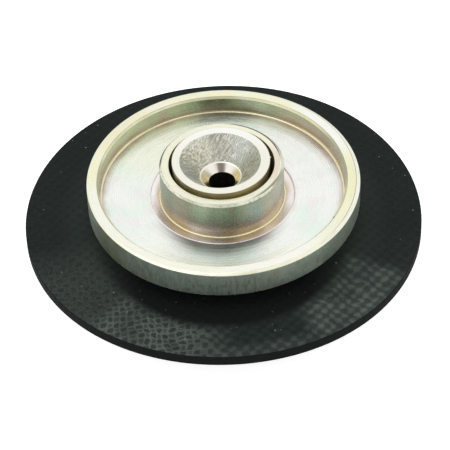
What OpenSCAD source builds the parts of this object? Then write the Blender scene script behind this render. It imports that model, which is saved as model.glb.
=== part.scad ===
// Self-relieving regulator diaphragm: a cloth-reinforced rubber disc clamped between a turned
// spring plate with a raised hub and a plain lower plate. A vent seat with a bowl and a small
// through hole stands in the hub, and its stem passes down to a lock washer and a thin nut.
// Millimetres, +Z up, origin at the centre of the nut's underside, where the part rests.

/* [Diaphragm] */
// Outer diameter of the rubber disc
disc_d = 95; // [80:1:130]
// Thickness of the rubber disc
disc_t = 2.6; // [1.5:0.1:5]

/* [Spring plate] */
// Outer diameter of the rim wall
rim_d = 64.8; // [56:0.2:78]
// Thickness of the rim wall, averaged around it
rim_wall = 3.2; // [2:0.1:4]
// How far the wall's outer face was turned off centre, towards +X
rim_shift = 0.3; // [0.1:0.05:0.4]
// Height of the rim's top face above the rubber
rim_h = 11.2; // [9:0.1:15]
// Height of the rim wall's lower edge above the rubber
rim_gap = 4.7; // [3:0.1:5.5]
// Height of the dished floor, where the spring sits, above the rubber
floor_h = 6.3; // [5.8:0.1:8.5]
// Diameter of the flat foot that clamps the rubber
foot_d = 44; // [34:0.5:52]
// Width of the bevel on the rim's outer edge, averaged around it
rim_bevel = 0.72; // [0.5:0.02:1]
// Slope of that bevel below the rim's top face, in degrees
rim_bevel_slope = 30; // [20:1:45]
// Chamfer on the rim's inner edge
rim_chamfer = 0.45; // [0.2:0.05:0.6]
// Fillet where the rim wall meets the floor
rim_fillet = 0.7; // [0.4:0.1:1.5]

/* [Hub] */
// Outer diameter of the hub
hub_d = 29.4; // [26:0.2:36]
// Wall of the hub around its bore
hub_wall = 2.2; // [1.6:0.1:3]
// Height of the hub's top face above the rubber
hub_h = 16; // [13:0.1:20]
// Chamfer on the hub's outer edge
hub_chamfer = 0.6; // [0.3:0.05:0.8]
// Width of the shallow turned recess in the floor, round the hub's foot
recess_w = 2.4; // [1.5:0.1:4]
// Depth of that recess
recess_depth = 0.3; // [0.1:0.05:0.6]
// Fillet where the hub meets the recess
hub_fillet = 0.4; // [0.2:0.05:1]
// Thickness of the plate under the hub's bore
hub_web = 3.6; // [2.5:0.1:5]

/* [Vent seat] */
// Gap all round between the seat's head and the hub's bore
head_gap = 0.9; // [0.4:0.05:1.2]
// How far the head stands above the hub
head_stand = 1; // [0.5:0.05:2.5]
// Width of the flat ring around the bowl
head_rim = 2; // [1.5:0.1:2.6]
// Full angle of the bowl, in degrees
bowl_angle = 87; // [80:1:96]
// Diameter of the bowl's lower edge, where the countersink starts
sink_d = 9.6; // [8:0.1:12]
// Full angle of the countersink, in degrees
sink_angle = 90; // [80:1:100]
// Diameter of the vent hole
hole_d = 6.3; // [4:0.1:7.5]
// Depth of the valve stem's seat at the hole's lower end
seat_depth = 1.2; // [0.6:0.1:2]
// Diameter of the stem
stem_d = 14; // [11:0.5:17]
// Gap between the stem and each hole that it passes through
stem_gap = 0.1; // [0.05:0.05:0.3]

/* [Lower plate, washer and nut] */
// Diameter of the lower plate
lower_d = 46; // [36:0.5:56]
// Thickness of the lower plate
lower_t = 2.2; // [1.8:0.1:4]
// Radius on the lower plate's upper edge, against the rubber
lower_round = 1.2; // [0.5:0.1:1.5]
// Thickness of the lock washer
washer_t = 1; // [0.8:0.1:1.6]
// Width of the lock washer's ring, inside its teeth
washer_ring = 2.4; // [1.6:0.1:3]
// Length of the lock washer's teeth
tooth_l = 2.6; // [1.5:0.1:3]
// Number of teeth on the lock washer
teeth = 16; // [10:1:20]
// Thickness of the nut
nut_h = 5; // [4:0.1:8]
// Wall of the nut between its bore and its flats
nut_wall = 3.4; // [2.5:0.1:5]
// Height of the chamfer on the nut's corners
nut_chamfer = 0.6; // [0.3:0.1:1]

/* [Hidden] */
$fn = 96;
// How far a cut runs past the face that it cuts, and a fillet is sunk into what it joins
cut = 1;
sunk = 0.2;

// Radii that follow from the sizes above
disc_r = disc_d / 2;
rim_r = rim_d / 2;
dish_r = rim_r - rim_wall;
blank_r = rim_r + rim_shift + cut;
hub_r = hub_d / 2;
recess_r = hub_r + recess_w;
bore_r = hub_r - hub_wall;
head_r = bore_r - head_gap;
bowl_r = head_r - head_rim;
sink_r = sink_d / 2;
hole_r = hole_d / 2;
stem_r = stem_d / 2;
pass_r = stem_r + stem_gap;
foot_r = foot_d / 2;
lower_r = lower_d / 2;
tooth_root_r = pass_r + washer_ring;
tooth_tip_r = tooth_root_r + tooth_l;
nut_flat_r = pass_r + nut_wall;
nut_corner_r = nut_flat_r / cos(30);

// Heights above the nut's underside
washer_z = nut_h;
lower_z = washer_z + washer_t;
disc_z = lower_z + lower_t;
plate_z = disc_z + disc_t;
bore_z = plate_z + hub_web;
floor_z = plate_z + floor_h;
recess_z = floor_z - recess_depth;
rim_z = plate_z + rim_h;
hub_z = plate_z + hub_h;
head_z = hub_z + head_stand;
sink_z = head_z - (bowl_r - sink_r) / tan(bowl_angle / 2);
hole_z = sink_z - (sink_r - hole_r) / tan(sink_angle / 2);

// The stem ends a little inside the nut's underside
stem_z = 0.5;
stem_chamfer = 0.8;
seat_r = hole_r + seat_depth;

// Share of the pitch that each tooth of the lock washer fills, at its root and at its tip
tooth_root_share = 0.68;
tooth_tip_share = 0.52;
// How far each tooth is sunk into the washer's ring
tooth_sunk = 0.4;
// How far the nut's chamfered end face reaches from the flats towards the corners, as a share
nut_face_share = 0.1;

// The underside is an arc that leaves the foot level and reaches the rim wall's lower edge
under_dx = rim_r - foot_r;
under_r = (under_dx * under_dx + rim_gap * rim_gap) / (2 * rim_gap);

// Section of a ring between two radii and two heights
module band(r0, r1, z0, z1) {
    translate([r0, z0]) square([r1 - r0, z1 - z0]);
}

// Section that fills the corner above a floor, beside a wall on the left (side 1) or right (-1)
module corner_fill(r, z, size, side) {
    translate([r, z]) mirror([side < 0 ? 1 : 0, 0, 0]) difference() {
        translate([-sunk, -sunk]) square(size + sunk);
        translate([size, size]) circle(size);
    }
}

// Section of a 45 degree chamfer cut from an upper edge, outwards (side 1) or inwards (-1)
module edge_cut(r, z, size, side) {
    polygon([
        [r - side * size, z],
        [r, z - size],
        [r + side * cut, z - size],
        [r + side * cut, z + cut],
        [r - side * size, z + cut]
    ]);
}

module diaphragm() {
    color([0.17, 0.19, 0.18])
        rotate_extrude() band(pass_r, disc_r, disc_z, plate_z);
}

// Section of the plate before its outer wall is turned, so it reaches past that wall
module plate_section() {
    difference() {
        union() {
            band(pass_r, blank_r, plate_z, floor_z);
            band(dish_r, blank_r, floor_z, rim_z);
            band(bore_r, hub_r, floor_z, hub_z);
        }
        band(0, bore_r, bore_z, hub_z + cut);
        band(hub_r, recess_r, recess_z, floor_z + cut);
        difference() {
            band(foot_r, blank_r + cut, plate_z - cut, plate_z + under_r);
            translate([foot_r, plate_z + under_r]) circle(under_r);
        }
        edge_cut(dish_r, rim_z, rim_chamfer, -1);
        edge_cut(hub_r, hub_z, hub_chamfer, 1);
    }
    corner_fill(hub_r, recess_z, hub_fillet, 1);
    corner_fill(dish_r, floor_z, rim_fillet, -1);
}

// Section of the ring that cuts the bevel on the rim's outer edge
module bevel_section() {
    bevel_w = blank_r + cut - (rim_r - rim_bevel);
    polygon([
        [rim_r - rim_bevel, rim_z],
        [blank_r + cut, rim_z - bevel_w * tan(rim_bevel_slope)],
        [blank_r + cut, rim_z + cut],
        [rim_r - rim_bevel, rim_z + cut]
    ]);
}

module spring_plate() {
    color([0.86, 0.86, 0.78]) difference() {
        rotate_extrude() plate_section();
        rotate_extrude() bevel_section();
        translate([rim_shift, 0, 0])
            rotate_extrude() band(rim_r, blank_r + 2 * cut, plate_z - cut, rim_z + cut);
    }
}

module vent_seat() {
    color([0.84, 0.83, 0.76]) rotate_extrude() difference() {
        union() {
            band(hole_r, head_r, bore_z, head_z);
            band(hole_r, stem_r, stem_z, bore_z);
        }
        polygon([
            [0, hole_z],
            [hole_r, hole_z],
            [sink_r, sink_z],
            [bowl_r, head_z],
            [bowl_r, head_z + cut],
            [0, head_z + cut]
        ]);
        polygon([
            [hole_r, stem_z - cut],
            [seat_r, stem_z - cut],
            [seat_r, stem_z],
            [hole_r, stem_z + seat_depth]
        ]);
        polygon([
            [stem_r - stem_chamfer, stem_z - cut],
            [stem_r - stem_chamfer, stem_z],
            [stem_r, stem_z + stem_chamfer],
            [stem_r + cut, stem_z + stem_chamfer],
            [stem_r + cut, stem_z - cut]
        ]);
    }
}

module lower_plate() {
    color([0.84, 0.84, 0.77]) rotate_extrude() difference() {
        band(pass_r, lower_r, lower_z, disc_z);
        difference() {
            band(lower_r - lower_round, lower_r + cut, disc_z - lower_round, disc_z + cut);
            translate([lower_r - lower_round, disc_z - lower_round]) circle(lower_round);
        }
    }
}

module lock_washer() {
    pitch = 360 / teeth;
    root_w = tooth_root_r * sin(pitch * tooth_root_share / 2);
    tip_w = tooth_tip_r * sin(pitch * tooth_tip_share / 2);
    color([0.62, 0.63, 0.62]) translate([0, 0, washer_z]) linear_extrude(washer_t) difference() {
        union() {
            circle(tooth_root_r);
            for (i = [0:teeth - 1]) rotate(i * pitch) polygon([
                [tooth_root_r - tooth_sunk, -root_w],
                [tooth_tip_r, -tip_w],
                [tooth_tip_r, tip_w],
                [tooth_root_r - tooth_sunk, root_w]
            ]);
        }
        circle(pass_r);
    }
}

module nut() {
    face_r = nut_flat_r + (nut_corner_r - nut_flat_r) * nut_face_share;
    color([0.80, 0.80, 0.74]) difference() {
        intersection() {
            cylinder(h = nut_h, r = nut_corner_r, $fn = 6);
            rotate_extrude() polygon([
                [0, 0],
                [face_r, 0],
                [nut_corner_r + cut, nut_chamfer * (nut_corner_r + cut - face_r) / (nut_corner_r - face_r)],
                [nut_corner_r + cut, nut_h],
                [0, nut_h]
            ]);
        }
        translate([0, 0, -cut]) cylinder(h = nut_h + 2 * cut, r = pass_r);
        translate([0, 0, -cut])
            cylinder(h = cut + nut_chamfer, r1 = pass_r + nut_chamfer + cut, r2 = pass_r);
    }
}

diaphragm();
spring_plate();
vent_seat();
lower_plate();
lock_washer();
nut();
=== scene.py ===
"""Looks of the regulator diaphragm: turned and plated metal on cloth-reinforced rubber.

Lengths of the part are in millimetres up to the point where a mesh is made, and those of the studio
in metres. Angles are in radians, and the directions in the materials are in degrees round the part's
axis, from +X towards +Y.
"""
import math

import bpy
import numpy as np
from mathutils import Matrix, Vector


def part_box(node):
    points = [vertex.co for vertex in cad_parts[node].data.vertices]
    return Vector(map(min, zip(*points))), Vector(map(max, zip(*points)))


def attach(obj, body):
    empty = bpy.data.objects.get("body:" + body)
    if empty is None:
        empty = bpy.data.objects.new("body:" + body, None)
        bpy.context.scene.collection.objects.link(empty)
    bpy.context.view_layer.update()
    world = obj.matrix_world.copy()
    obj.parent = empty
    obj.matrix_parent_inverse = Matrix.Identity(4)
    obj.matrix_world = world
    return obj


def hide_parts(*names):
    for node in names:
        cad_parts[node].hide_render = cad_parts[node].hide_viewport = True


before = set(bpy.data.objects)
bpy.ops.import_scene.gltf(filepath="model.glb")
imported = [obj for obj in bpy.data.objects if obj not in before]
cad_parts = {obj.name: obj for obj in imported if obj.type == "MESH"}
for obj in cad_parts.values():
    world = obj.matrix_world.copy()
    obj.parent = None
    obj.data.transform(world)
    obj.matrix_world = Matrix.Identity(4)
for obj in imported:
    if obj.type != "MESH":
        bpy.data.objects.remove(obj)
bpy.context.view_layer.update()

MM = 0.001
TAU = 2 * math.pi

# Steps round the axis and round each corner of a section
SEGMENTS, CORNER_STEPS = 384, 4


def cad_size(node):
    """Outer radius, lowest and highest height of a CAD node, in millimetres."""
    low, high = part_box(node)
    return high.x / MM, low.z / MM, high.z / MM


DISC_R, DISC_Z, PLATE_Z = cad_size("diaphragm")
RIM_REACH, _, HUB_Z = cad_size("spring_plate")
HEAD_R, STEM_Z, HEAD_Z = cad_size("vent_seat")
LOWER_R, LOWER_Z, _ = cad_size("lower_plate")
TOOTH_REACH, WASHER_Z, _ = cad_size("lock_washer")
NUT_CORNER_R, NUT_Z, NUT_TOP = cad_size("nut")

# Rim of the spring plate
RIM_SHIFT = 0.3  # its outer face is turned off centre, towards +X
RIM_WALL = 3.2
RIM_H = 11.2
RIM_GAP = 4.7  # from the rubber up to the rim's lower edge
RIM_CHAMFER = 0.45  # on its inner edge
BEVEL = 0.72  # on its outer edge
BEVEL_SLOPE = math.radians(30)
FOOT_R = 22.0  # where the underside starts to curve up
UNDERSIDE_STEPS = 14

# Its floor, which falls away from the hub on the -Y side in two steps and rises to the rim wall
FLOOR_H = 6.3
FLOOR_FALLS = (0.14, 0.32)
FLOOR_STEP_W = 1.7
FLOOR_RISE = 0.4
FLOOR_RISE_W = 5.0
CORNER_R = 0.5

# Its hub
HUB_R = 14.7
HUB_WALL = 2.2
HUB_CHAMFER = 0.6
HUB_FILLET = 0.28
HUB_WEB = 3.6  # thickness under the bore

# The recess round the hub
RECESS_W = 2.4
RECESS_DEPTH = 0.3
STEP_FADE = 0.75  # share of its step that is gone on the -X side
LIP = 0.07  # height of the lip that the tool left along it
LIP_W = 0.24

# Widths of the lines that the tool and the light leave along the plate's corners
CORNER_LINE_W = 0.03
HUB_LINE_W = 0.32
HUB_GROOVE_W = 0.14
WALL_LINE_W = 0.12
TOP_LINE_W = 0.1
RIM_GROOVE_W = 0.15

# Nick in the rim's inner edge, a dark tint only: its direction and half width in degrees
NICK_AT, NICK_HALF = -29.5, 0.8

# Radii of small edges, from a corner without any to a round one
SHARP, LINE, FINE, CRISP, EASED = 0.0, 0.03, 0.05, 0.06, 0.08
SOFT, FILED, BROKEN, ROUND, BORE_CORNER = 0.1, 0.12, 0.15, 0.2, 0.3

# Smallest distance that tells two places apart
HAIR = 0.01

# Vent seat. In the photograph its head stands a little off centre, and its bowl further
HEAD_RIM = 2.0
SINK_R = 4.8
HOLE_R = 3.15
BOWL_HALF = math.radians(43.5)
SINK_HALF = math.radians(45)
HEAD_SHIFT = -0.12
HEAD_SKIN = 0.3  # depth of the head's side that shifts with it
BOWL_SHIFT = -0.3
SINK_LINE_IN, SINK_LINE_OUT, SINK_LINE_RISE = 0.12, 0.2, 0.06

# Burr on the head's edge
BURR_AT = math.radians(2.0)
BURR_HALF = math.radians(1.6)
BURR = 0.45
BURR_H = 0.25

# Stem of the vent seat, with its thread
STEM_R = 7.0
STEM_GAP = 0.1
STEM_CHAMFER = 0.8
SEAT_DEPTH = 1.2
THREAD_PITCH = 1.0
THREAD_DEPTH = 0.55
THREAD_TOP = 5.9
THREAD_RUNOUT = 0.5
THREAD_ROWS_PER_MM = 7
THREAD_FLANK, THREAD_CREST = 1.25, 0.12  # how steep the flanks are, and what the crests keep

# Lower plate, washer and nut
LOWER_ROUND = 1.2
TEETH = 16
TOOTH_ROOT_R = 9.5
TOOTH_HALF = math.radians(5.7)
TOOTH_TWIST = 0.13
TOOTH_BLEND = 0.3
TOOTH_STEPS = 4
WASHER_SHEET = 0.72
NUT_FLAT_R = 10.5
NUT_CHAMFER = 0.6
NUT_FACE_SHARE = 0.1
NUT_EDGE = 0.08

# Rubber. Beyond the clamped part its margin hangs a little under its own weight, unevenly. Each wave
# is its number of turns and the heights of its cosine and sine
SAG = 0.57
SAG_START = 24.0
SAG_RINGS = 16
SAG_WAVES = ((1, 0.12, 0.19), (2, 0.29, -0.10), (3, 0.0, -0.14))

# Its cut edge, with a black line of painted shadow, of the last height, along the lower corner
CUT_ROUND = 0.14
CUT_BAND = 0.5
SHADOW_LINE_H = 0.3

# The cloth in it, whose threads run in a direction in degrees
CLOTH_PITCH = 1.58
CLOTH_TOWARDS = 4.0

# Where the rubber's looks start and are full: round the patch of painted shadow, whose middle is on the -Y
# side, then along Y, along X and by radius. The last of them spans the painted light that lifts the
# rubber near the rim
PAINTED_SHADOW_Y = -8.5
PAINTED_SHADOW_FADE, WEAR_AND_SHEEN_FADE = (30.8, 27.2), (28.0, 31.8)
NEAR_FADE = (-5.0, -22.0)
DOTS_FADE = (-11.0, 0.0)
EDGE_FADE, RIM_PAINTED_LIGHT_FADE = (42.0, 46.0), (41.0, 34.0)

# Radii where the bowl's looks start and are full
BOWL_LOW, BOWL_HIGH, BOWL_FLECKS = (7.6, 5.2), (6.4, 8.6), (5.6, 7.6)

# What follows from them
TOOTH_TIP_R = TOOTH_REACH * math.cos(TOOTH_HALF)
RIM_R = RIM_REACH - RIM_SHIFT
PASS_R = STEM_R + STEM_GAP
DISH_R = RIM_R - RIM_WALL
BORE_R = HUB_R - HUB_WALL
RECESS_R = HUB_R + RECESS_W
RISE_R = DISH_R - FLOOR_RISE_W
FLOOR_Z = PLATE_Z + FLOOR_H
RECESS_Z = FLOOR_Z - RECESS_DEPTH
RIM_Z = PLATE_Z + RIM_H
BORE_Z = PLATE_Z + HUB_WEB
BOWL_R = HEAD_R - HEAD_RIM
SINK_Z = HEAD_Z - (BOWL_R - SINK_R) / math.tan(BOWL_HALF)
HOLE_Z = SINK_Z - (SINK_R - HOLE_R) / math.tan(SINK_HALF)

# Camera: the photograph looks down at the rubber's top face, rolled a little. Its distance and aim
# are in millimetres, and the limits of what it sees in metres
VIEW_ELEVATION, VIEW_ROLL = math.radians(43.85), math.radians(-2.09)
VIEW_DISTANCE, VIEW_AIM = 570.0, (0.305, -2.094, 8.62)
LENS, SENSOR = 190.1, 36.0
CLIP_START, CLIP_END = 0.01, 20.0

# Studio: half the ground's side, its grey and its glow towards the camera, the room's strength, and
# its dim opening on the camera's side with the cosines where that starts and is full
GROUND_HALF, GROUND_GREY, GROUND_GLOW = 4.0, 0.84, 0.8
ROOM, OPENING, OPENING_STARTS, OPENING_FULL = 1.0, 0.35, 0.90, 0.975


def rounded(corners):
    """Closed section with rounded corners, as rows of r, z and the outward normal in the section.

    Each corner is (r, z, radius, region), and the corners run clockwise, so that the material is on
    the right of the path. The region names the stretch that starts there."""
    rows, regions = [], []
    count = len(corners)
    for i, (r, z, radius, region) in enumerate(corners):
        spot = np.array((r, z))
        to_last = np.array(corners[i - 1][:2]) - spot
        to_next = np.array(corners[(i + 1) % count][:2]) - spot
        to_last /= np.linalg.norm(to_last)
        to_next /= np.linalg.norm(to_next)
        first_normal = np.array([to_last[1], -to_last[0]])
        last_normal = np.array([-to_next[1], to_next[0]])
        if radius == 0:
            rows.append((*spot, *(first_normal + last_normal) / 2))
            regions.append(region)
            continue
        turn = math.acos(max(-1.0, min(1.0, float(-to_last @ to_next))))
        outward = radius if first_normal @ to_next < 0 else -radius
        centre = spot + to_last * radius * math.tan(turn / 2) - first_normal * outward
        for k in range(CORNER_STEPS + 1):
            done = turn * k / CORNER_STEPS
            normal = first_normal * math.sin(turn - done) + last_normal * math.sin(done)
            normal /= math.sin(turn)
            rows.append((*centre + normal * outward, *normal))
            regions.append(region)
    return np.array(rows), regions


def lathe(name, section_at, materials, shape=None, smooth=True):
    """A solid of revolution. section_at(angle) gives the corners of the section at that angle.

    materials maps a region to its material. shape(rows, angle) may move a section's rows."""
    points, normals = [], []
    for angle in np.arange(SEGMENTS) * TAU / SEGMENTS:
        rows, regions = rounded(section_at(angle))
        if shape:
            rows = shape(rows, angle)
        c, s = math.cos(angle), math.sin(angle)
        points.append(np.column_stack([rows[:, 0] * c, rows[:, 0] * s, rows[:, 1]]))
        normals.append(np.column_stack([rows[:, 2] * c, rows[:, 2] * s, rows[:, 3]]))
    return grid_object(name, np.array(points), np.array(normals) if smooth else None, regions, materials)


def grid_object(name, points, normals, regions, materials):
    """A mesh from a grid of points: one row per angle, one column per point of the section.

    Without normals its faces are flat."""
    rows, cols = points.shape[:2]
    mesh = bpy.data.meshes.new(name)
    faces, slots, slot_of = [], [], {}
    for region in regions:
        material = materials[region]
        if material.name not in slot_of:
            slot_of[material.name] = len(slot_of)
            mesh.materials.append(material)
    for a in range(rows):
        b = (a + 1) % rows
        for k in range(cols):
            m = (k + 1) % cols
            faces.append((a * cols + k, a * cols + m, b * cols + m, b * cols + k))
            slots.append(slot_of[materials[regions[k]].name])
    mesh.from_pydata((points.reshape(-1, 3) * MM).tolist(), [], faces)
    mesh.polygons.foreach_set("material_index", slots)
    mesh.polygons.foreach_set("use_smooth", [normals is not None] * len(faces))
    if normals is not None:
        flat = normals.reshape(-1, 3)
        flat = flat / np.linalg.norm(flat, axis=1, keepdims=True)
        mesh.normals_split_custom_set_from_vertices(flat.tolist())
    mesh.update()
    piece = bpy.data.objects.new(name, mesh)
    bpy.context.scene.collection.objects.link(piece)
    return piece


class Shader:
    """A material under construction. Most methods add a node and return its output socket."""

    def __init__(self, name):
        self.material = bpy.data.materials.new(name)
        self.material.use_nodes = True
        self.nodes = self.material.node_tree.nodes
        self.links = self.material.node_tree.links
        self.bsdf = self.nodes["Principled BSDF"]
        place = self.node("ShaderNodeTexCoord").outputs["Object"]
        self.mm = self.vector("SCALE", place, scale=1 / MM)
        self.flat_mm = self.vector("MULTIPLY", self.mm, (1.0, 1.0, 0.0))

    def node(self, kind, **settings):
        made = self.nodes.new(kind)
        for key, value in settings.items():
            setattr(made, key, value)
        return made

    def put(self, socket, value):
        """Links a socket, or sets a plain value."""
        if isinstance(value, bpy.types.NodeSocket):
            self.links.new(value, socket)
        elif value is not None:
            socket.default_value = value

    def surface(self, **values):
        """Puts values on the surface's inputs, whose names are written with underscores."""
        for key, value in values.items():
            self.put(self.bsdf.inputs[key.replace("_", " ")], value)

    def turned_metal(self, anisotropic):
        """Metal whose grain runs round the part's axis."""
        tangent = self.node("ShaderNodeTangent", direction_type="RADIAL", axis="Z")
        self.surface(Metallic=1.0, Anisotropic=anisotropic, Anisotropic_Rotation=0.25)
        self.surface(Tangent=tangent.outputs[0])

    def vector(self, operation, a, b=None, scale=None):
        made = self.node("ShaderNodeVectorMath", operation=operation)
        self.put(made.inputs[0], a)
        self.put(made.inputs[1], b)
        if scale is not None:
            made.inputs["Scale"].default_value = scale
        return made.outputs["Value" if operation in ("LENGTH", "DOT_PRODUCT") else "Vector"]

    def math(self, operation, a, b=None):
        made = self.node("ShaderNodeMath", operation=operation)
        self.put(made.inputs[0], a)
        self.put(made.inputs[1], b)
        return made.outputs[0]

    def product(self, first, *others):
        for other in others:
            first = self.math("MULTIPLY", first, other)
        return first

    def axis(self, index):
        """One coordinate of the place, in millimetres."""
        made = self.node("ShaderNodeSeparateXYZ")
        self.put(made.inputs[0], self.mm)
        return made.outputs[index]

    def radius(self):
        """Distance from the part's axis, in millimetres."""
        return self.vector("LENGTH", self.flat_mm)

    def arc(self):
        """Way round the part's axis, in millimetres on a circle with a radius of 10."""
        return self.math("MULTIPLY", self.math("ARCTAN2", self.axis(1), self.axis(0)), 10.0)

    def along(self, towards):
        """Distance from the axis in a direction seen from above, in millimetres."""
        way = (math.cos(math.radians(towards)), math.sin(math.radians(towards)), 0.0)
        return self.vector("DOT_PRODUCT", self.mm, way)

    def sector(self, towards, half_width, share=1.0):
        """Falls from the share to 0 away from a direction round the axis. It and the half width are in
        degrees."""
        outward = self.vector("NORMALIZE", self.flat_mm)
        way = (math.cos(math.radians(towards)), math.sin(math.radians(towards)), 0.0)
        facing = self.vector("DOT_PRODUCT", outward, way)
        return self.ramp(facing, math.cos(math.radians(half_width)), 1.0, 0.0, share)

    def ramp(self, value, low, high, to_low=0.0, to_high=1.0, smooth=True):
        """Carries a value over from one range to another, and stops at that one's ends."""
        made = self.node("ShaderNodeMapRange", interpolation_type="SMOOTHSTEP" if smooth else "LINEAR")
        for socket, number in zip(made.inputs, (value, low, high, to_low, to_high)):
            self.put(socket, number)
        return made.outputs[0]

    def noise(self, scale, detail=3.0, roughness=0.55, vector=None, w=None):
        """Noise over the place or another vector, or over one value w, with the scale in waves per mm."""
        made = self.node("ShaderNodeTexNoise", noise_dimensions="3D" if w is None else "1D")
        if w is None:
            self.put(made.inputs["Vector"], vector or self.mm)
        else:
            self.put(made.inputs["W"], w)
        for key, value in (("Scale", scale), ("Detail", detail), ("Roughness", roughness)):
            made.inputs[key].default_value = value
        return made.outputs[0]

    def moved_noise(self, scale, detail, roughness, by):
        """Noise that is moved, so that it doesn't follow another one."""
        return self.noise(scale, detail, roughness, vector=self.vector("ADD", self.mm, by))

    def cells(self, scale):
        """Distance from the nearest of many scattered points."""
        made = self.node("ShaderNodeTexVoronoi")
        self.put(made.inputs["Vector"], self.mm)
        made.inputs["Scale"].default_value = scale
        return made.outputs["Distance"]

    def combined(self, *values):
        made = self.node("ShaderNodeCombineXYZ")
        for socket, value in zip(made.inputs, values):
            self.put(socket, value)
        return made.outputs[0]

    def mix(self, factor, a, b):
        """Mixes two tints. The node has its sockets for colours in these places."""
        first, second, result = 6, 7, 2
        made = self.node("ShaderNodeMix", data_type="RGBA", clamp_factor=True)
        self.put(made.inputs["Factor"], factor)
        for place, tint in ((first, a), (second, b)):
            self.put(made.inputs[place], tint if isinstance(tint, bpy.types.NodeSocket) else (*tint, 1.0))
        return made.outputs[result]

    def sided(self, tint, sectors):
        """Lays tints over one side of the axis each: direction, half width, tint and share."""
        for towards, half_width, colour, share in sectors:
            tint = self.mix(self.sector(towards, half_width, share), tint, colour)
        return tint

    def bump(self, height, distance, normal=None):
        made = self.node("ShaderNodeBump")
        made.inputs["Strength"].default_value = 1.0
        made.inputs["Distance"].default_value = distance * MM
        self.put(made.inputs["Height"], height)
        self.put(made.inputs["Normal"], normal)
        return made.outputs["Normal"]


def plated(name, light, shade, blush, foot=(), sectors=(), roughness=0.26, rings=0.5, across="radius",
           grain=0.25, anisotropic=0.5, patch=0.09, wear=0.3, streak=(0.35, 1.0), worn=(0.50, 0.49, 0.42)):
    """Turned steel with a pale plating whose thin film drifts between three tints.

    foot lists tints near corners, some of them painted light and shade: the corner's height or radius,
    the reach and the tint, and perhaps the direction and half width of the side that has it.
    sectors lists tints that lie to one side of the axis, many of them painted light and shade and some
    the plating's own tint: the direction and half width in degrees, the tint and its share. across
    says what the turning marks vary with: "radius" on faces, "height" on walls. streak says how fast
    the worn specks vary round the axis and upwards."""
    s = Shader(name)
    s.turned_metal(anisotropic)
    turned = s.radius() if across == "radius" else s.axis(2)
    drift = s.noise(patch, 4.0, 0.6)
    veil = s.moved_noise(patch * 2.3, 3.0, 0.5, (40.0, 11.0, 7.0))
    tint = s.mix(s.ramp(drift, 0.38, 0.62), light, shade)
    tint = s.mix(s.ramp(veil, 0.5, 0.72, 0.0, 0.75), tint, blush)
    tint = s.sided(tint, sectors)
    wobble = s.ramp(s.noise(0.12, 2.0), 0.3, 0.7, -0.5, 0.5) if foot else None
    for corner, reach, colour, *side in foot:
        gap = s.math("ADD", s.math("ABSOLUTE", s.math("SUBTRACT", turned, corner)), wobble)
        share = s.ramp(gap, 0.0, reach, 1.0, 0.0)
        if side:
            share = s.product(share, s.sector(*side))
        tint = s.mix(share, tint, colour)
    marks = s.noise(4.5, 3.0, 0.7, w=turned)
    wide = s.noise(0.9, 2.0, 0.5, w=turned)
    around, up = streak
    speck_place = s.combined(s.radius(), s.product(s.arc(), around), s.product(s.axis(2), up))
    speck = s.noise(3.2, 4.0, 0.7, vector=speck_place)
    tint = s.mix(s.ramp(marks, 0.35, 0.65, 0.0, 0.24 * rings), tint, (0.45, 0.45, 0.40))
    tint = s.mix(s.ramp(speck, 0.50, 0.64, 0.0, wear), tint, worn)
    dull = s.ramp(speck, 0.3, 0.7, roughness - 0.05, roughness + 0.08)
    banded = s.ramp(wide, 0.3, 0.7, -0.06 * rings, 0.06 * rings)
    normal = s.bump(marks, 0.012 * rings)
    normal = s.bump(wide, 0.03 * rings, normal)
    normal = s.bump(speck, 0.02 * grain, normal)
    s.surface(Base_Color=tint, Roughness=s.math("ADD", dull, banded), Normal=normal)
    return s.material


def scratches(s, towards, length, width, low, high):
    """Straight scratches in one direction, seen from above, from 0 to 1."""
    lengthwise = s.math("DIVIDE", s.along(towards), length)
    crosswise = s.math("DIVIDE", s.along(towards + 90.0), width)
    return s.ramp(s.noise(1.0, 2.0, 0.5, vector=s.combined(lengthwise, crosswise, towards)), low, high)


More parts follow.
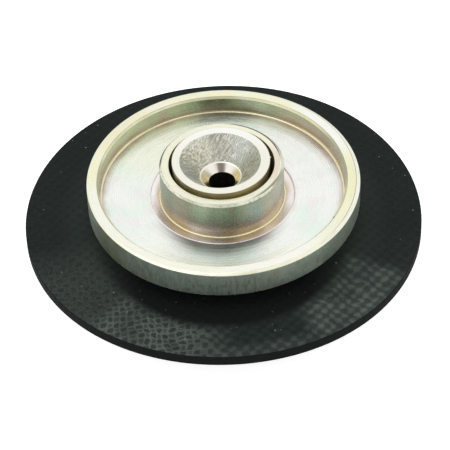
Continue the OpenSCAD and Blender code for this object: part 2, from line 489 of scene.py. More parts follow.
def brushed_bowl(name):
    """The bowl: a dull skin that was rubbed in two directions, with brown and pale flecks at the back."""
    s = Shader(name)
    s.surface(Metallic=1.0)
    cloud = s.noise(0.28, 3.0, 0.5)
    grit = s.noise(3.0, 3.0, 0.6)
    fleck = s.moved_noise(1.3, 3.0, 0.65, (5.0, 9.0, 2.0))
    rising = scratches(s, 46.0, 1.7, 0.26, 0.50, 0.62)
    falling = scratches(s, 112.0, 1.2, 0.28, 0.52, 0.64)
    dark = scratches(s, 62.0, 1.2, 0.30, 0.52, 0.64)
    high = s.ramp(s.radius(), *BOWL_HIGH)
    brown = s.product(s.ramp(fleck, 0.50, 0.58), s.sector(147.0, 34.0, 0.9), s.ramp(s.radius(), *BOWL_FLECKS))
    pale = s.product(s.ramp(fleck, 0.47, 0.40), s.sector(118.0, 76.0, 0.9))
    tint = s.mix(s.ramp(cloud, 0.38, 0.62), (0.50, 0.50, 0.41), (0.55, 0.58, 0.50))
    # Painted light and shade round the bowl: lighter towards +Y, darker towards +X, -Y and -X
    tint = s.sided(tint, (
        (120.0, 55.0, (0.80, 0.77, 0.61), 0.7),
        (50.0, 30.0, (0.66, 0.70, 0.66), 0.4),
        (-4.0, 46.0, (0.32, 0.33, 0.22), 0.8),
        (-108.0, 34.0, (0.28, 0.28, 0.24), 0.8),
        (180.0, 34.0, (0.38, 0.37, 0.27), 0.6),
    ))
    tint = s.mix(s.ramp(s.radius(), *BOWL_LOW, 0.0, 0.18), tint, (0.34, 0.34, 0.29))
    tint = s.mix(brown, tint, (0.40, 0.32, 0.20))
    tint = s.mix(pale, tint, (0.97, 0.94, 0.84))
    tint = s.mix(s.sector(-166.0, 22.0, 0.5), tint, (0.36, 0.39, 0.43))
    tint = s.mix(s.product(high, s.sector(97.0, 15.0, 0.7)), tint, (0.34, 0.35, 0.27))
    tint = s.mix(s.product(dark, 0.5), tint, (0.25, 0.25, 0.19))
    tint = s.mix(s.product(rising, 0.6), tint, (0.96, 0.95, 0.88))
    tint = s.mix(s.product(falling, 0.4), tint, (0.88, 0.87, 0.80))
    tint = s.mix(s.product(rising, s.sector(70.0, 44.0, 0.9)), tint, (0.99, 0.99, 0.95))
    tint = s.mix(s.ramp(grit, 0.45, 0.75, 0.0, 0.35), tint, (0.32, 0.31, 0.24))
    normal = s.bump(s.math("ADD", rising, falling), 0.05, s.bump(grit, 0.03))
    s.surface(Base_Color=tint, Roughness=s.ramp(grit, 0.3, 0.7, 0.38, 0.48), Normal=normal)
    return s.material


def streaked(name, light, dark, roughness):
    """The countersink: a bright cone with painted highlight streaks, gold at its sides, and a painted
    dark reflection at the back.
    """
    s = Shader(name)
    s.turned_metal(0.6)
    streak = s.noise(0.25, 2.0, 0.6, w=s.arc())
    tint = s.mix(s.ramp(streak, 0.42, 0.62, 0.0, 0.35), light, dark)
    tint = s.sided(tint, (
        (94.0, 17.0, dark, 0.85),
        (0.0, 58.0, (0.78, 0.70, 0.36), 0.9),
        (184.0, 46.0, (0.86, 0.72, 0.42), 0.9),
    ))
    s.surface(Base_Color=tint, Roughness=roughness)
    return s.material


def plain_steel(name, tint, roughness=0.34):
    """Small hardware: dull plating with fine grain."""
    s = Shader(name)
    cloud = s.noise(0.5, 4.0, 0.6)
    fine = s.noise(6.0, 3.0, 0.6)
    deep = tuple(c * 0.72 for c in tint)
    s.surface(Metallic=1.0, Base_Color=s.mix(s.ramp(cloud, 0.35, 0.65), tint, deep))
    s.surface(Roughness=s.ramp(fine, 0.3, 0.7, roughness - 0.06, roughness + 0.08))
    s.surface(Normal=s.bump(fine, 0.01))
    return s.material


def cloth(s):
    """A plain weave, from 0 on one set of crossings over 0.5 between them to 1 on the other."""
    wander = s.ramp(s.noise(0.16, 2.0), 0.3, 0.7, -1.2, 1.2, smooth=False)
    waves = []
    for towards in (CLOTH_TOWARDS, CLOTH_TOWARDS + 90.0):
        turn = s.math("ADD", s.product(s.along(towards), math.pi / CLOTH_PITCH), wander)
        waves.append(s.math("SINE", turn))
    return s.math("ADD", s.product(*waves, 0.5), 0.5)


def cloth_wear_and_sheen(s, weave):
    """Tint of the cloth where the skin is worn, with painted sheen: a pale net at -X, soft pale dots at +X.
    """
    broken = s.math("ADD", weave, s.ramp(s.noise(1.1, 3.0, 0.6), 0.3, 0.7, -0.22, 0.22, smooth=False))
    net = s.mix(s.ramp(broken, 0.15, 0.42), (0.052, 0.064, 0.058), (0.112, 0.132, 0.120))
    net = s.mix(s.ramp(broken, 0.46, 0.76), net, (0.034, 0.044, 0.039))
    dots = s.mix(s.ramp(broken, 0.0, 0.75), (0.104, 0.125, 0.113), (0.044, 0.055, 0.049))
    return s.mix(s.ramp(s.axis(0), *DOTS_FADE), net, dots)


def moulded_skin(s, fine, weave, shine):
    """Tint and shine of the rubber's skin, with the pattern of the cloth under it and a little dust.

    Its margin is lighter in two places on the -Y side, where the cloth shows: partly wear, partly
    painted sheen. Round the plate's -Y side a painted shadow darkens it and lowers its shine, and
    near the rim painted light lifts it."""
    from_painted_shadow = s.vector("LENGTH", s.vector("ADD", s.flat_mm, (0.0, -PAINTED_SHADOW_Y, 0.0)))
    near = s.ramp(s.axis(1), *NEAR_FADE)
    # Painted shadow of the plate on the rubber's -Y side, which also lowers the shine
    painted_shadow = s.product(near, s.ramp(from_painted_shadow, *PAINTED_SHADOW_FADE), s.sector(-90.0, 68.0, 1.3))
    margin_starts = s.ramp(from_painted_shadow, *WEAR_AND_SHEEN_FADE)
    # Wear with painted sheen: the cloth shows lighter on the -Y margin
    edge = s.product(s.ramp(s.radius(), *EDGE_FADE, 0.0, 0.5), s.sector(-88.0, 60.0, 1.2))
    lobes = s.math("MAXIMUM", s.sector(-110.0, 26.0), s.sector(-46.0, 23.0))
    lobes = s.math("MAXIMUM", s.ramp(lobes, 0.0, 0.7, 0.12, 1.0), edge)
    patches = s.ramp(s.noise(0.13, 3.0, 0.6), 0.35, 0.6, 0.5, 1.0)
    wear_and_sheen = s.product(near, lobes, patches, margin_starts)
    # A lighter patch on the margin towards -138 degrees
    lighter_patch = s.product(margin_starts, s.sector(-138.0, 32.0, 0.75), s.ramp(fine, 0.3, 0.6))
    dust = s.product(s.ramp(s.cells(0.55), 0.13, 0.05), s.ramp(s.noise(0.8, 2.0), 0.52, 0.66))
    cloud = s.noise(0.06, 3.0, 0.5)
    tint = s.mix(s.ramp(cloud, 0.35, 0.65), (0.0115, 0.0180, 0.0155), (0.0150, 0.0232, 0.0200))
    tint = s.mix(s.ramp(fine, 0.36, 0.64), (0.0062, 0.0095, 0.0083), tint)
    # Painted light lifts the rubber near the rim, and painted shadow darkens it round the plate's -Y side
    tint = s.mix(s.ramp(s.radius(), *RIM_PAINTED_LIGHT_FADE, 0.0, 0.5), tint, (0.030, 0.041, 0.035))
    tint = s.mix(painted_shadow, tint, (0.0095, 0.0108, 0.0104))
    tint = s.mix(lighter_patch, tint, (0.050, 0.060, 0.054))
    tint = s.mix(s.ramp(weave, 0.4, 1.0, 0.0, 0.3), tint, (0.0050, 0.0072, 0.0066))
    tint = s.mix(s.product(wear_and_sheen, 0.9), tint, cloth_wear_and_sheen(s, weave))
    tint = s.mix(s.product(dust, 0.8), tint, (0.32, 0.34, 0.30))
    return tint, s.math("SUBTRACT", shine, s.product(painted_shadow, 0.04))


def rubber(name, cut_tint=None, shine=0.09):
    """Black-green rubber. A cut tint makes a plain look, used for the cut edge and for the black line of
    painted shadow along its lower corner.
    """
    s = Shader(name)
    fine = s.noise(2.2, 4.0, 0.7)
    weave = cloth(s)
    if cut_tint:
        tint = (*cut_tint, 1.0)
    else:
        tint, shine = moulded_skin(s, fine, weave, shine)
    s.surface(Base_Color=tint, Roughness=s.ramp(fine, 0.3, 0.7, 0.50, 0.66), Specular_IOR_Level=shine)
    s.surface(Normal=s.bump(fine, 0.03, s.bump(weave, 0.06)))
    return s.material


CREAM, MINT, ROSE = (0.93, 0.92, 0.74), (0.82, 0.93, 0.83), (0.94, 0.85, 0.84)
STRAW, OLIVE, UMBER = (0.93, 0.91, 0.64), (0.38, 0.45, 0.27), (0.22, 0.22, 0.13)

RUBBER_LOOKS = {
    "skin": rubber("rubber"),
    "cut": rubber("cut_rubber", (0.0055, 0.0075, 0.0065)),
    # Painted shadow: a black line along the rubber's lower corner
    "shadow_line": rubber("shadow_line_rubber", (0.0006, 0.0007, 0.0006), shine=0.0),
}
RIM_LOOKS = {
    # A darker copy of the plating: painted shade, and its sectors paint the dark reflection of the rubber
    "wall": plated(
        "rim_wall", (0.66, 0.75, 0.61), (0.52, 0.61, 0.51), (0.66, 0.68, 0.50),
        sectors=(
            (-108.0, 50.0, (0.36, 0.43, 0.36), 0.85),
            (0.0, 30.0, (0.36, 0.42, 0.35), 0.8),
            (-146.0, 13.0, (0.38, 0.43, 0.28), 0.8),
        ),
        across="height", roughness=0.36, rings=0.1, streak=(1.5, 0.16), grain=0.6, wear=0.6,
        patch=0.13, worn=(0.30, 0.37, 0.30),
    ),
    "bevel": plated("rim_bevel", (0.96, 0.96, 0.84), CREAM, STRAW, roughness=0.3),
    "rim": plated(
        "rim_top", STRAW, CREAM, (0.90, 0.93, 0.80),
        sectors=(
            # Its pale sectors on the -Y side are painted highlights; the yellow ones are the plating's tint
            (-128.0, 62.0, (0.95, 0.96, 0.85), 0.8),
            (200.0, 24.0, (0.94, 0.95, 0.88), 0.6),
            (34.0, 26.0, (0.97, 0.98, 0.94), 0.9),
            (-68.0, 32.0, (0.99, 0.98, 0.92), 0.9),
            (-3.0, 16.0, (0.90, 0.89, 0.58), 0.8),
            (142.0, 22.0, (0.88, 0.82, 0.58), 0.6),
        ),
        wear=0.1, grain=0.15,
    ),
    # A line of painted shade along the rim's inner edge, with painted light on its -Y side
    "edge_line": plated(
        "edge_line", (0.50, 0.44, 0.26), (0.40, 0.38, 0.22), (0.58, 0.50, 0.32),
        sectors=((-92.0, 68.0, (0.97, 0.96, 0.86), 1.6),),
        roughness=0.5,
    ),
    # Its dark sector at +X is painted shade in the groove
    "rim_groove": plated("rim_groove", CREAM, STRAW, CREAM, sectors=((0.0, 50.0, (0.4, 0.4, 0.3), 1.0),)),
    "rim_edge": plated(
        "rim_edge", (0.80, 0.78, 0.50), (0.74, 0.76, 0.50), (0.88, 0.86, 0.66),
        # Its sectors at +X and -X paint shade on the chamfer; the nick is a dark tint
        sectors=(
            (12.0, 26.0, (0.42, 0.43, 0.32), 0.9),
            (178.0, 16.0, (0.46, 0.46, 0.34), 0.8),
            (NICK_AT, NICK_HALF, (0.05, 0.05, 0.04), 1.0),
        ),
        roughness=0.45,
    ),
    # A darker copy of the plating: painted shade. Its sectors paint lighter and darker places on the wall,
    # the dark strip at +Y among them
    "inner": plated(
        "rim_inner", (0.56, 0.66, 0.43), (0.46, 0.54, 0.33), (0.60, 0.50, 0.38),
        foot=(
            (FLOOR_Z, 4.4, (0.50, 0.42, 0.32)),
            (FLOOR_Z, 2.0, (0.50, 0.40, 0.22)),
        ),
        sectors=(
            (92.0, 10.0, UMBER, 1.0),
            (150.0, 26.0, (0.64, 0.72, 0.50), 0.5),
            (73.0, 9.0, (0.76, 0.82, 0.63), 0.8),
            (24.0, 46.0, (0.40, 0.34, 0.24), 0.85),
            (180.0, 25.0, (0.40, 0.40, 0.28), 0.7),
        ),
        across="height", patch=0.16,
    ),
}
DISH_LOOKS = {
    "floor": plated(
        "dish_floor", (0.96, 0.97, 0.93), (0.85, 0.95, 0.87), (0.95, 0.87, 0.88),
        foot=(
            # Brown at the rim's corner: partly the plating's tint, partly a painted reflection of the wall
            (DISH_R, 2.2, (0.56, 0.46, 0.38)),
            (RECESS_R, 1.6, (0.84, 0.74, 0.72), -90.0, 130.0),
            # A painted highlight where the floor rises on the -Y side, the hub's painted dark reflection in
            # front of the hub, and the rim wall's painted dark reflection at +Y
            (RISE_R, 1.6, (1.0, 0.99, 0.86), -88.0, 60.0),
            (RECESS_R, 8.0, (0.42, 0.46, 0.41), -95.0, 38.0),
            (RECESS_R, 4.2, (0.19, 0.17, 0.17), -94.0, 62.0),
            (DISH_R, 3.4, (0.34, 0.36, 0.32), 78.0, 20.0),
        ),
        sectors=(
            (130.0, 40.0, (0.94, 0.96, 0.76), 0.7),
            # Painted light beside the hub's reflection, which narrows it
            (-126.0, 24.0, (0.97, 1.0, 0.93), 0.9),
            (-56.0, 24.0, (0.97, 1.0, 0.95), 0.9),
        ),
        roughness=0.24, rings=0.85, wear=0.05, grain=0.05, anisotropic=0.4,
    ),
    "recess": plated(
        "recess", ROSE, (0.88, 0.78, 0.74), CREAM,
        foot=(
            (HUB_R, 2.4, (0.70, 0.60, 0.52)),
            (HUB_R, 1.2, (0.64, 0.54, 0.37)),
            (RECESS_R, 1.3, (0.94, 0.95, 0.93), 180.0, 56.0),
        ),
        sectors=(
            (-154.0, 24.0, (0.58, 0.47, 0.40), 0.7),
            (-30.0, 18.0, (0.60, 0.54, 0.44), 0.7),
        ),
        roughness=0.24, wear=0.08,
    ),
    "recess_step": plated(
        "recess_step", (0.99, 0.93, 0.91), (0.96, 0.90, 0.88), (0.98, 0.94, 0.92), roughness=0.6, wear=0.1,
    ),
    "recess_line": plated(
        "recess_line", (0.99, 0.90, 0.90), (0.97, 0.87, 0.87), (0.98, 0.94, 0.92),
        sectors=(
            (0.0, 30.0, (0.6, 0.6, 0.56), 0.8),
            (90.0, 80.0, (0.7, 0.7, 0.66), 1.0),
        ),
        roughness=0.25, wear=0.1,
    ),
    "dish_line": plated(
        "dish_line", (0.86, 0.78, 0.54), (0.80, 0.74, 0.50), (0.86, 0.76, 0.60), roughness=0.22,
    ),
}
HUB_LOOKS = {
    "line": plated(
        "corner_line", (0.98, 0.92, 0.66), (0.96, 0.90, 0.62), (0.98, 0.94, 0.78), roughness=0.2, wear=0.1,
    ),
    # A darker copy of the plating: painted shade. Its pale feet at -34 and -106 degrees and its sectors paint
    # light and shade round the hub
    "hub": plated(
        "hub_wall", (0.40, 0.47, 0.37), (0.37, 0.44, 0.33), (0.54, 0.44, 0.36),
        foot=(
            (FLOOR_Z, 5.2, (0.46, 0.38, 0.31)),
            (FLOOR_Z, 3.0, (0.56, 0.46, 0.28)),
            (FLOOR_Z, 5.0, (0.88, 0.78, 0.58), -34.0, 24.0),
            (FLOOR_Z, 5.0, (0.60, 0.57, 0.52), -106.0, 22.0),
        ),
        sectors=(
            (-34.0, 30.0, (0.61, 0.58, 0.49), 0.9),
            (-102.0, 22.0, (0.60, 0.74, 0.60), 0.8),
            (-152.0, 48.0, (0.27, 0.31, 0.22), 0.8),
            (182.0, 22.0, (0.22, 0.24, 0.13), 0.9),
            (-6.0, 22.0, (0.36, 0.38, 0.29), 0.8),
            (-60.0, 12.0, (0.40, 0.50, 0.50), 0.6),
            (-134.0, 13.0, (0.52, 0.42, 0.36), 0.5),
        ),
        across="height", patch=0.2, streak=(1.6, 0.5), grain=0.4,
    ),
    "hub_edge": plated(
        "hub_edge", (0.92, 0.92, 0.76), (0.86, 0.86, 0.70), (0.92, 0.84, 0.74),
        # Its dark foot at -X and its dark sectors paint shade and reflection on the chamfer; its worn specks
        # are nicks
        foot=((HUB_R, 0.42, (0.10, 0.11, 0.08), 166.0, 46.0),),
        sectors=(
            (44.0, 38.0, (0.28, 0.29, 0.22), 0.9),
            (-22.0, 16.0, (0.36, 0.37, 0.28), 0.8),
            (-122.0, 14.0, (0.5, 0.5, 0.4), 0.7),
        ),
        roughness=0.45, wear=0.8, streak=(0.4, 0.6), worn=(0.34, 0.35, 0.26),
    ),
    "groove": plated(
        "groove", (0.84, 0.84, 0.70), (0.78, 0.79, 0.64), (0.86, 0.82, 0.70),
        # Its dark sector is painted shade in the groove
        sectors=((-38.0, 30.0, (0.20, 0.20, 0.14), 1.0),),
        roughness=0.4,
    ),
    "hub_line": plated(
        "hub_line", (0.92, 0.91, 0.76), CREAM, (0.90, 0.86, 0.72),
        # Its dark sectors paint the reflection along the hub's edge
        sectors=(
            (44.0, 48.0, (0.06, 0.07, 0.05), 1.2),
            (-40.0, 22.0, (0.30, 0.31, 0.22), 0.8),
        ),
        roughness=0.4,
    ),
    "hub_top": plated(
        "hub_top", (0.93, 0.92, 0.70), (0.90, 0.90, 0.74), (0.94, 0.88, 0.78),
        sectors=((-5.0, 34.0, (0.83, 0.73, 0.60), 0.9),),
        roughness=0.28, wear=0.15,
    ),
    # Painted shade darkens the bore, and painted light on its -Y side lights the head's side
    "bore": plated(
        "hub_bore", (0.20, 0.18, 0.10), (0.16, 0.15, 0.09), (0.20, 0.17, 0.10),
        sectors=((-84.0, 80.0, (0.97, 0.92, 0.66), 1.0),),
        across="height", roughness=0.7,
    ),
}
UNDER_LOOKS = {"under": plated("plate_underside", (0.80, 0.81, 0.72), MINT, CREAM, roughness=0.3)}
PLATE_LOOKS = {**RIM_LOOKS, **DISH_LOOKS, **HUB_LOOKS, **UNDER_LOOKS}
SEAT_LOOKS = {
    # Painted light and shade: lighter low down, darker at its top edge and on the -Y side, nearly black at +X
    # and -X where the gap's shade falls
    "side": plated(
        "head_side", (0.76, 0.66, 0.34), (0.70, 0.61, 0.30), (0.74, 0.64, 0.34),
        foot=((HEAD_Z, 1.5, (0.32, 0.28, 0.13)),),
        sectors=(
            (-88.0, 34.0, (0.60, 0.51, 0.24), 0.8),
            (0.0, 24.0, (0.1, 0.1, 0.06), 1.0),
            (182.0, 20.0, (0.24, 0.23, 0.14), 0.8),
        ),
        across="height", roughness=0.42,
    ),
    "top": plated(
        "head_top", (0.93, 0.92, 0.81), (0.93, 0.90, 0.80), CREAM,
        sectors=((90.0, 85.0, (0.99, 0.99, 0.95), 0.9),),
        roughness=0.3, wear=0.1,
    ),
    "bowl": brushed_bowl("bowl"),
    "sink_line": plated(
        "sink_line", (0.99, 0.97, 0.86), (0.97, 0.94, 0.80), (0.99, 0.97, 0.90), roughness=0.3,
    ),
    "sink": streaked("countersink", (0.91, 0.87, 0.80), (0.54, 0.47, 0.38), 0.18),
    "hole": plain_steel("vent_hole", (0.30, 0.28, 0.22)),
    "stem": plain_steel("stem", (0.72, 0.70, 0.60)),
}
LOWER_LOOKS = {
    "face": plated("lower_face", (0.84, 0.85, 0.76), MINT, CREAM, roughness=0.28),
    "edge": plated("lower_edge", (0.72, 0.75, 0.64), OLIVE, CREAM, across="height", roughness=0.32),
}
WASHER_LOOKS = {"all": plain_steel("washer_steel", (0.46, 0.46, 0.44), 0.3)}
NUT_LOOKS = {"all": plain_steel("nut_steel", (0.80, 0.78, 0.66), 0.3)}


def underside(edge_r):
    """Radius and height of points on the arc that rises from the plate's foot to its edge."""
    arc_r = ((RIM_R - FOOT_R) ** 2 + RIM_GAP ** 2) / (2 * RIM_GAP)
    sweep = math.asin((edge_r - FOOT_R) / arc_r)
    turns = [sweep * k / UNDERSIDE_STEPS for k in range(UNDERSIDE_STEPS + 1)]
    return [(FOOT_R + arc_r * math.sin(turn), PLATE_Z + arc_r * (1 - math.cos(turn))) for turn in turns]


def plate_section(angle):
    """Corners of the spring plate's section, whose outer face was turned off centre."""
    edge_r = RIM_R + RIM_SHIFT * math.cos(angle)
    bevel = edge_r - (RIM_R - BEVEL)
    near = max(0.0, -math.sin(angle))
    left = max(0.0, -math.cos(angle))
    step = RECESS_DEPTH * (1 - STEP_FADE * math.sqrt(left))
    lip_r = RECESS_R + CORNER_LINE_W
    _, *arc, edge = underside(edge_r)
    return [
        (PASS_R, PLATE_Z, BROKEN, "under"),
        (PASS_R, BORE_Z, BROKEN, "bore"),
        (BORE_R, BORE_Z, BORE_CORNER, "bore"),
        (BORE_R, HUB_Z, CRISP, "hub_top"),
        (HUB_R - HUB_CHAMFER - HUB_LINE_W, HUB_Z, SHARP, "hub_line"),
        (HUB_R - HUB_CHAMFER, HUB_Z, CRISP, "groove"),
        (HUB_R - HUB_CHAMFER + HUB_GROOVE_W, HUB_Z - HUB_GROOVE_W, SHARP, "hub_edge"),
        (HUB_R, HUB_Z - HUB_CHAMFER, SOFT, "hub"),
        (HUB_R, RECESS_Z, HUB_FILLET, "line"),
        (HUB_R + HUB_FILLET + CORNER_LINE_W, RECESS_Z, SHARP, "recess"),
        (RECESS_R, FLOOR_Z - step, EASED, "recess_step"),
        (lip_r, FLOOR_Z + LIP, LINE, "recess_line"),
        (lip_r + LIP_W, FLOOR_Z, SHARP, "floor"),
        (RISE_R - FLOOR_STEP_W, FLOOR_Z - FLOOR_FALLS[0] * near, SHARP, "floor"),
        (RISE_R, FLOOR_Z - FLOOR_FALLS[1] * near, SHARP, "floor"),
        (DISH_R, FLOOR_Z + FLOOR_RISE, CORNER_R, "dish_line"),
        (DISH_R, FLOOR_Z + FLOOR_RISE + CORNER_R + CORNER_LINE_W, SHARP, "inner"),
        (DISH_R, RIM_Z - RIM_CHAMFER - WALL_LINE_W, SHARP, "edge_line"),
        (DISH_R, RIM_Z - RIM_CHAMFER, EASED, "rim_edge"),
        (DISH_R + RIM_CHAMFER, RIM_Z, FINE, "edge_line"),
        (DISH_R + RIM_CHAMFER + TOP_LINE_W, RIM_Z, SHARP, "rim"),
        (RIM_R - BEVEL, RIM_Z, EASED, "rim_groove"),
        (RIM_R - BEVEL + RIM_GROOVE_W, RIM_Z - RIM_GROOVE_W * math.tan(BEVEL_SLOPE), SHARP, "bevel"),
        (edge_r, RIM_Z - bevel * math.tan(BEVEL_SLOPE), EASED, "wall"),
        (*edge, BROKEN, "under"),
        *[(r, z, SHARP, "under") for r, z in reversed(arc)],
        (FOOT_R, PLATE_Z, SHARP, "under"),
    ]


def thread_cut(angle, z):
    """Depth of a right-handed thread's groove at a place on the stem."""
    turn = (z / THREAD_PITCH - angle / TAU) % 1.0
    share = THREAD_FLANK * (1 - abs(2 * turn - 1)) - THREAD_CREST
    return THREAD_DEPTH * min(1.0, max(0.0, share))


def thread_rows(angle):
    """Corners along the threaded end of the stem, from the bottom up, with the chamfer at its tip."""
    count = THREAD_ROWS_PER_MM * math.ceil(THREAD_TOP - STEM_Z)
    rows = []
    for k in range(1, count):
        z = STEM_Z + (THREAD_TOP - STEM_Z) * k / count
        tip_r = STEM_R - max(0.0, STEM_CHAMFER - (z - STEM_Z))
        fade = min(1.0, (THREAD_TOP - z) / THREAD_RUNOUT)
        rows.append((min(tip_r, STEM_R - thread_cut(angle, z) * fade), z, SHARP, "stem"))
    return rows


def seat_section(angle):
    """Corners of the vent seat's section, with the thread on the lower end of its stem."""
    off = abs((angle - BURR_AT + math.pi) % TAU - math.pi)
    burr = BURR * max(0.0, 1 - off / BURR_HALF)
    return [
        (HOLE_R + SEAT_DEPTH, STEM_Z, CRISP, "stem"),
        (HOLE_R, STEM_Z + SEAT_DEPTH, CRISP, "hole"),
        (HOLE_R, HOLE_Z, CRISP, "sink"),
        (SINK_R - SINK_LINE_IN, SINK_Z - SINK_LINE_IN, LINE, "sink_line"),
        (SINK_R + SINK_LINE_OUT, SINK_Z + SINK_LINE_RISE, LINE, "bowl"),
        (BOWL_R, HEAD_Z, EASED, "top"),
        (HEAD_R + burr, HEAD_Z, CRISP, "side"),
        (HEAD_R, HEAD_Z - BURR_H, SHARP, "side"),
        (HEAD_R, BORE_Z, ROUND, "side"),
        (STEM_R, BORE_Z, LINE, "stem"),
        (STEM_R, THREAD_TOP, SHARP, "stem"),
        *reversed(thread_rows(angle)),
        (STEM_R - STEM_CHAMFER, STEM_Z, FINE, "stem"),
    ]


def off_centre(rows, angle):
    """Moves the head a little to one side of the stem, and its bowl and countersink further."""
    outside = (rows[:, 0] > HEAD_R - HEAD_SKIN) & (rows[:, 1] > BORE_Z - HAIR)
    share = np.clip((rows[:, 1] - HOLE_Z) / (SINK_Z - HOLE_Z), 0.0, 1.0)
    rows[:, 0] += math.cos(angle) * np.where(outside, HEAD_SHIFT, BOWL_SHIFT * share)
    return rows


def lower_section(angle):
    """Corners of the lower plate's section, the same all round."""
    return [
        (PASS_R, LOWER_Z, FILED, "face"),
        (PASS_R, DISC_Z, FILED, "face"),
        (LOWER_R, DISC_Z, LOWER_ROUND - HAIR, "edge"),
        (LOWER_R, LOWER_Z, ROUND, "face"),
    ]


def disc_section(angle):
    """Corners of the rubber's section, the same all round, with enough rows for its margin to sag."""
    rings = np.linspace(SAG_START, DISC_R - CUT_BAND, SAG_RINGS)
    return [
        (PASS_R, DISC_Z, SOFT, "skin"),
        (PASS_R, PLATE_Z, SOFT, "skin"),
        *[(r, PLATE_Z, SHARP, "skin") for r in rings],
        (DISC_R, PLATE_Z, CUT_ROUND, "cut"),
        # Painted shadow: a black line along the lower corner
        (DISC_R, DISC_Z + SHADOW_LINE_H, SHARP, "shadow_line"),
        (DISC_R, DISC_Z, CUT_ROUND, "shadow_line"),
        *[(r, DISC_Z, SHARP, "skin") for r in reversed(rings)],
    ]


def sagging(rows, angle):
    """Lowers the rubber's margin and tilts its normals to match."""
    deep = SAG + sum(c * math.cos(n * angle) + s * math.sin(n * angle) for n, c, s in SAG_WAVES)
    span = DISC_R - SAG_START
    share = np.clip((rows[:, 0] - SAG_START) / span, 0.0, 1.0)
    rows[:, 1] -= deep * share ** 2
    rows[:, 2] += rows[:, 3] * 2 * deep * share / span
    return rows


def off_tooth(angle):
    """Angle from the middle of the nearest tooth of the washer."""
    pitch = TAU / TEETH
    return (angle + pitch / 2) % pitch - pitch / 2


def washer_section(angle):
    """Corners of the lock washer's section, which reaches further where there is a tooth."""
    middle = (WASHER_Z + LOWER_Z) / 2
    low, high = middle - WASHER_SHEET / 2, middle + WASHER_SHEET / 2
    off = abs(off_tooth(angle))
    reach = TOOTH_TIP_R / math.cos(off) if off < TOOTH_HALF else TOOTH_ROOT_R
    start = TOOTH_ROOT_R - TOOTH_BLEND
    steps = [start + (reach - start) * k / TOOTH_STEPS for k in range(TOOTH_STEPS)]
    return [
        (PASS_R, low, SOFT, "all"),
        (PASS_R, high, SOFT, "all"),
        *[(r, high, SHARP, "all") for r in steps],
        (reach, high, EASED, "all"),
        (reach, low, EASED, "all"),
        *[(r, low, SHARP, "all") for r in reversed(steps)],
    ]


def twisted(rows, angle):
    """Twists the washer's teeth, so that each bites upwards at one side and downwards at the other."""
    share = np.clip((rows[:, 0] - TOOTH_ROOT_R) / (TOOTH_TIP_R - TOOTH_ROOT_R), 0.0, 1.0)
    rows[:, 1] += TOOTH_TWIST * share * off_tooth(angle) / TOOTH_HALF
    return rows


def nut_section(angle):
    """Corners of the nut's section, with the cones that chamfer its corners at both faces."""
    sixth = TAU / 6
    off = (angle + sixth / 2) % sixth - sixth / 2
    flat_r = NUT_FLAT_R / math.cos(sixth / 2 - abs(off))
    face_r = NUT_FLAT_R + (NUT_CORNER_R - NUT_FLAT_R) * NUT_FACE_SHARE
    rise = max(NUT_EDGE, NUT_CHAMFER * (flat_r - face_r) / (NUT_CORNER_R - face_r))
    return [
        (PASS_R + NUT_CHAMFER, NUT_Z, SHARP, "all"),
        (PASS_R, NUT_Z + NUT_CHAMFER, SHARP, "all"),
        (PASS_R, NUT_TOP, SHARP, "all"),
        (flat_r - rise, NUT_TOP, SHARP, "all"),
        (flat_r, NUT_TOP - rise, SHARP, "all"),
        (flat_r, NUT_Z + rise, SHARP, "all"),
        (min(face_r, flat_r - NUT_EDGE), NUT_Z, SHARP, "all"),
    ]


def settle(piece, node):
    """Puts a piece on the body in the place of its CAD node."""
    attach(piece, "root")
    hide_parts(node)


settle(lathe("turned_plate", plate_section, PLATE_LOOKS), "spring_plate")
settle(lathe("turned_seat", seat_section, SEAT_LOOKS, off_centre), "vent_seat")
settle(lathe("clamp_plate", lower_section, LOWER_LOOKS), "lower_plate")
settle(lathe("rubber_disc", disc_section, RUBBER_LOOKS, sagging), "diaphragm")
settle(lathe("tooth_washer", washer_section, WASHER_LOOKS, twisted, False), "lock_washer")
settle(lathe("hex_nut", nut_section, NUT_LOOKS, smooth=False), "nut")


def make_ground():
    """A wide pale floor that the camera sees as white, apart from the object's shadow."""
    corners = [(x * GROUND_HALF, y * GROUND_HALF, 0) for x, y in ((-1, -1), (1, -1), (1, 1), (-1, 1))]
    mesh = bpy.data.meshes.new("floor")
    mesh.from_pydata(corners, [], [(0, 1, 2, 3)])
    ground = bpy.data.objects.new("floor", mesh)
    bpy.context.scene.collection.objects.link(ground)
    s = Shader("floor")
    s.surface(Base_Color=(GROUND_GREY, GROUND_GREY, GROUND_GREY, 1.0), Roughness=0.9, Specular_IOR_Level=0.0)
    seen = s.node("ShaderNodeLightPath").outputs["Is Camera Ray"]
    glow = s.node("ShaderNodeEmission")
    glow.inputs["Color"].default_value = (1.0, 1.0, 1.0, 1.0)
    s.put(glow.inputs["Strength"], s.math("MULTIPLY", seen, GROUND_GLOW))
    both = s.node("ShaderNodeAddShader")
    s.put(both.inputs[0], s.bsdf.outputs[0])
    s.put(both.inputs[1], glow.outputs[0])
    s.put(s.nodes["Material Output"].inputs["Surface"], both.outputs[0])
    mesh.materials.append(s.material)


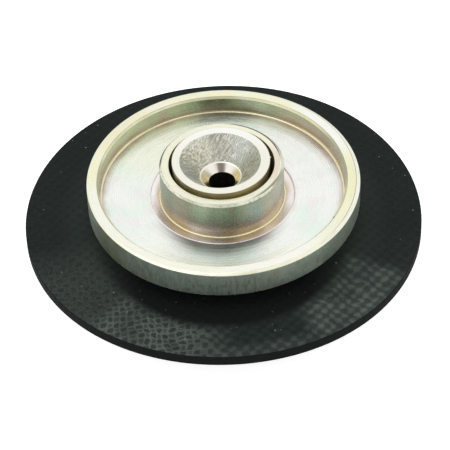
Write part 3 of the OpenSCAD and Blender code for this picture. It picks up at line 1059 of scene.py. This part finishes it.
def make_world():
    """A soft white room with a dim opening on the camera's side."""
    world = bpy.data.worlds.new("studio")
    world.use_nodes = True
    nodes, links = world.node_tree.nodes, world.node_tree.links
    place = nodes.new("ShaderNodeTexCoord")
    facing = nodes.new("ShaderNodeVectorMath")
    facing.operation = "DOT_PRODUCT"
    links.new(place.outputs["Generated"], facing.inputs[0])
    facing.inputs[1].default_value = (0.0, -math.cos(VIEW_ELEVATION), math.sin(VIEW_ELEVATION))
    room = nodes.new("ShaderNodeMapRange")
    room.interpolation_type = "SMOOTHSTEP"
    links.new(facing.outputs["Value"], room.inputs[0])
    for socket, value in zip(room.inputs[1:5], (OPENING_STARTS, OPENING_FULL, ROOM, OPENING)):
        socket.default_value = value
    path = nodes.new("ShaderNodeLightPath")
    seen = nodes.new("ShaderNodeMix")
    links.new(path.outputs["Is Camera Ray"], seen.inputs[0])
    links.new(room.outputs[0], seen.inputs[2])
    seen.inputs[3].default_value = 1.0
    nodes["Background"].inputs["Color"].default_value = (1.0, 1.0, 1.0, 1.0)
    links.new(seen.outputs[0], nodes["Background"].inputs["Strength"])
    bpy.context.scene.world = world


def make_lamp(name, direction, distance, size, power):
    """A square soft box that faces the part from a direction."""
    data = bpy.data.lights.new(name, "AREA")
    data.size, data.energy = size, power
    lamp = bpy.data.objects.new(name, data)
    away = Vector(direction).normalized()
    lamp.location = away * distance
    lamp.rotation_euler = away.to_track_quat("Z", "Y").to_euler()
    bpy.context.scene.collection.objects.link(lamp)


def make_camera():
    """The photograph's camera, as it was found from the fitted ellipses."""
    back = Vector((0, -math.cos(VIEW_ELEVATION), math.sin(VIEW_ELEVATION)))
    right = Vector((1, 0, 0))
    up = back.cross(right)
    rolled_right = right * math.cos(VIEW_ROLL) + up * math.sin(VIEW_ROLL)
    rolled_up = up * math.cos(VIEW_ROLL) - right * math.sin(VIEW_ROLL)
    spot = (Vector(VIEW_AIM) + back * VIEW_DISTANCE) * MM
    data = bpy.data.cameras.new("camera")
    data.lens, data.sensor_width = LENS, SENSOR
    data.clip_start, data.clip_end = CLIP_START, CLIP_END
    camera = bpy.data.objects.new("camera", data)
    columns = zip(rolled_right, rolled_up, back, spot)
    camera.matrix_world = Matrix((*columns, (0, 0, 0, 1)))
    bpy.context.scene.collection.objects.link(camera)
    bpy.context.scene.camera = camera


make_ground()
make_world()
make_lamp("top_box", direction=(-0.35, -0.05, 1.0), distance=1.2, size=0.9, power=1.0)
make_camera()
bpy.context.scene.view_settings.view_transform = "Standard"
